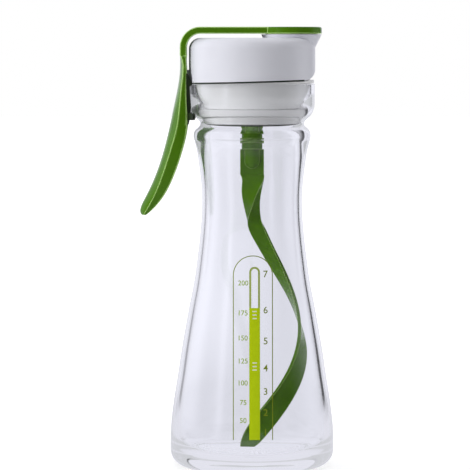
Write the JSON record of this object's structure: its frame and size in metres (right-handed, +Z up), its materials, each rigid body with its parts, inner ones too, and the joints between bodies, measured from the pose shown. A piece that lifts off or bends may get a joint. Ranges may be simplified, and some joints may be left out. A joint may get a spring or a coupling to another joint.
{
  "type": "salad dressing shaker bottle",
  "caption": "Waisted glass shaker bottle with a plug-in lid, sprung side lever that opens the pour flap, and a helical mixing blade inside.",
  "frame": {"origin": "centre of the bottle's base, on the surface it stands on", "axes": "+Z up along the bottle's axis, +X towards the pour spout, -X the lever side"},
  "size_m": [0.0865, 0.073, 0.196],
  "materials": {
    "glass": "clear",
    "white_plastic": "satin",
    "green_plastic": "gloss",
    "silicone": "matt",
    "dark_rubber": "matt",
    "steel": "bright"
  },
  "bodies": {
    "bottle": {"glass_bottle": "glass"},
    "lid": {"lid_cap": "white_plastic", "stopper_plug": "white_plastic", "plug_seal": "silicone", "agitator_post": "green_plastic", "hinge_pin": "steel", "lever_spring": "steel"},
    "lever": {"lever": "green_plastic", "lever_pad_front": "dark_rubber", "lever_pad_back": "dark_rubber", "flap_seal": "silicone"},
    "blade": {"agitator": "green_plastic"}
  },
  "joints": [
    {"name": "lid_lift", "type": "slide", "parent": "bottle", "child": "lid", "axis": [-0.0942, 0.0892, 0.9915], "range_m": [0, 0.18]},
    {"name": "lever_squeeze", "type": "hinge", "parent": "lid", "child": "lever", "pos_m": [-0.03035, 0, 0.1636], "axis": [0, -1, 0], "range_deg": [0, 7], "stiffness_Nm_per_rad": 1.5, "springref_deg": -5.73},
    {"name": "agitator_swivel", "type": "hinge", "parent": "lid", "child": "blade", "pos_m": [0, 0, 0.14], "axis": [0, 0, 1], "continuous": true}
  ]
}
